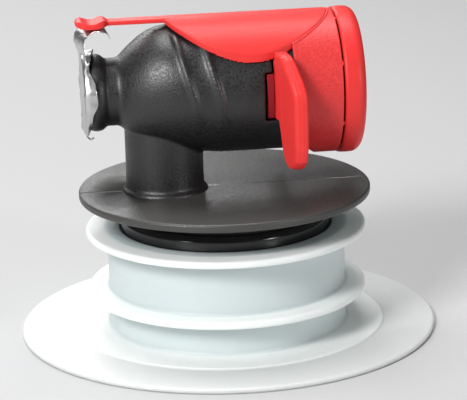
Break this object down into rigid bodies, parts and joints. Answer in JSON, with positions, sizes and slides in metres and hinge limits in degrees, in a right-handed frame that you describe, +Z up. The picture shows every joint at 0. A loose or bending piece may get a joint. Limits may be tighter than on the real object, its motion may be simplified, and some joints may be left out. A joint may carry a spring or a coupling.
{
  "type": "liquid dispensing tap with bag spout",
  "caption": "Push-button liquid bag tap with finger wings, tamper shield and foil-sealed outlet, plugged into a round flanged bag spout.",
  "frame": {"origin": "centre of the weld flange's underside, which is the bottom centre of the bounding box", "axes": "+Z up along the spout's axis; +X along the barrel from the outlet to the push button"},
  "size_m": [0.062, 0.062, 0.0477],
  "materials": {
    "spout_plastic": "translucent milky low-density polyethylene, satin",
    "black_plastic": "matte black moulded polypropylene with a fine grain",
    "seal_rubber": "glossy black soft seal",
    "red_plastic": "satin red moulded polypropylene with a fine grain",
    "natural_plastic": "natural moulded plastic",
    "soft_elastomer": "soft natural elastomer",
    "foil": "thin crinkled aluminium foil"
  },
  "bodies": {
    "spout": {"bag_spout": "spout_plastic"},
    "tap": {"tap_body": "black_plastic", "plug_seal_ring": "seal_rubber", "finger_grip": "red_plastic", "diaphragm_retainer": "natural_plastic"},
    "button": {"button_cap": "red_plastic", "tear_collar": "red_plastic", "valve_stem": "natural_plastic", "outlet_plug": "soft_elastomer", "return_diaphragm": "soft_elastomer"},
    "shield": {"tamper_shield": "red_plastic"},
    "foil": {"foil_seal": "foil"}
  },
  "joints": [
    {"name": "tap_swivel", "type": "hinge", "parent": "spout", "child": "tap", "pos_m": [0, 0, 0.018], "axis": [0, 0, 1], "continuous": true},
    {"name": "button_press", "type": "slide", "parent": "tap", "child": "button", "axis": [-1, 0, 0], "range_m": [0, 0.002], "stiffness_N_per_m": 1200, "springref_m": -0.001, "deforming": ["return_diaphragm"]},
    {"name": "shield_tear", "type": "hinge", "parent": "button", "child": "shield", "pos_m": [0.0155, 0, 0.0475], "axis": [0, 1, 0], "range_deg": [0, 60]},
    {"name": "foil_peel", "type": "slide", "parent": "tap", "child": "foil", "axis": [-1, 0, 0], "range_m": [0, 0.012]}
  ]
}
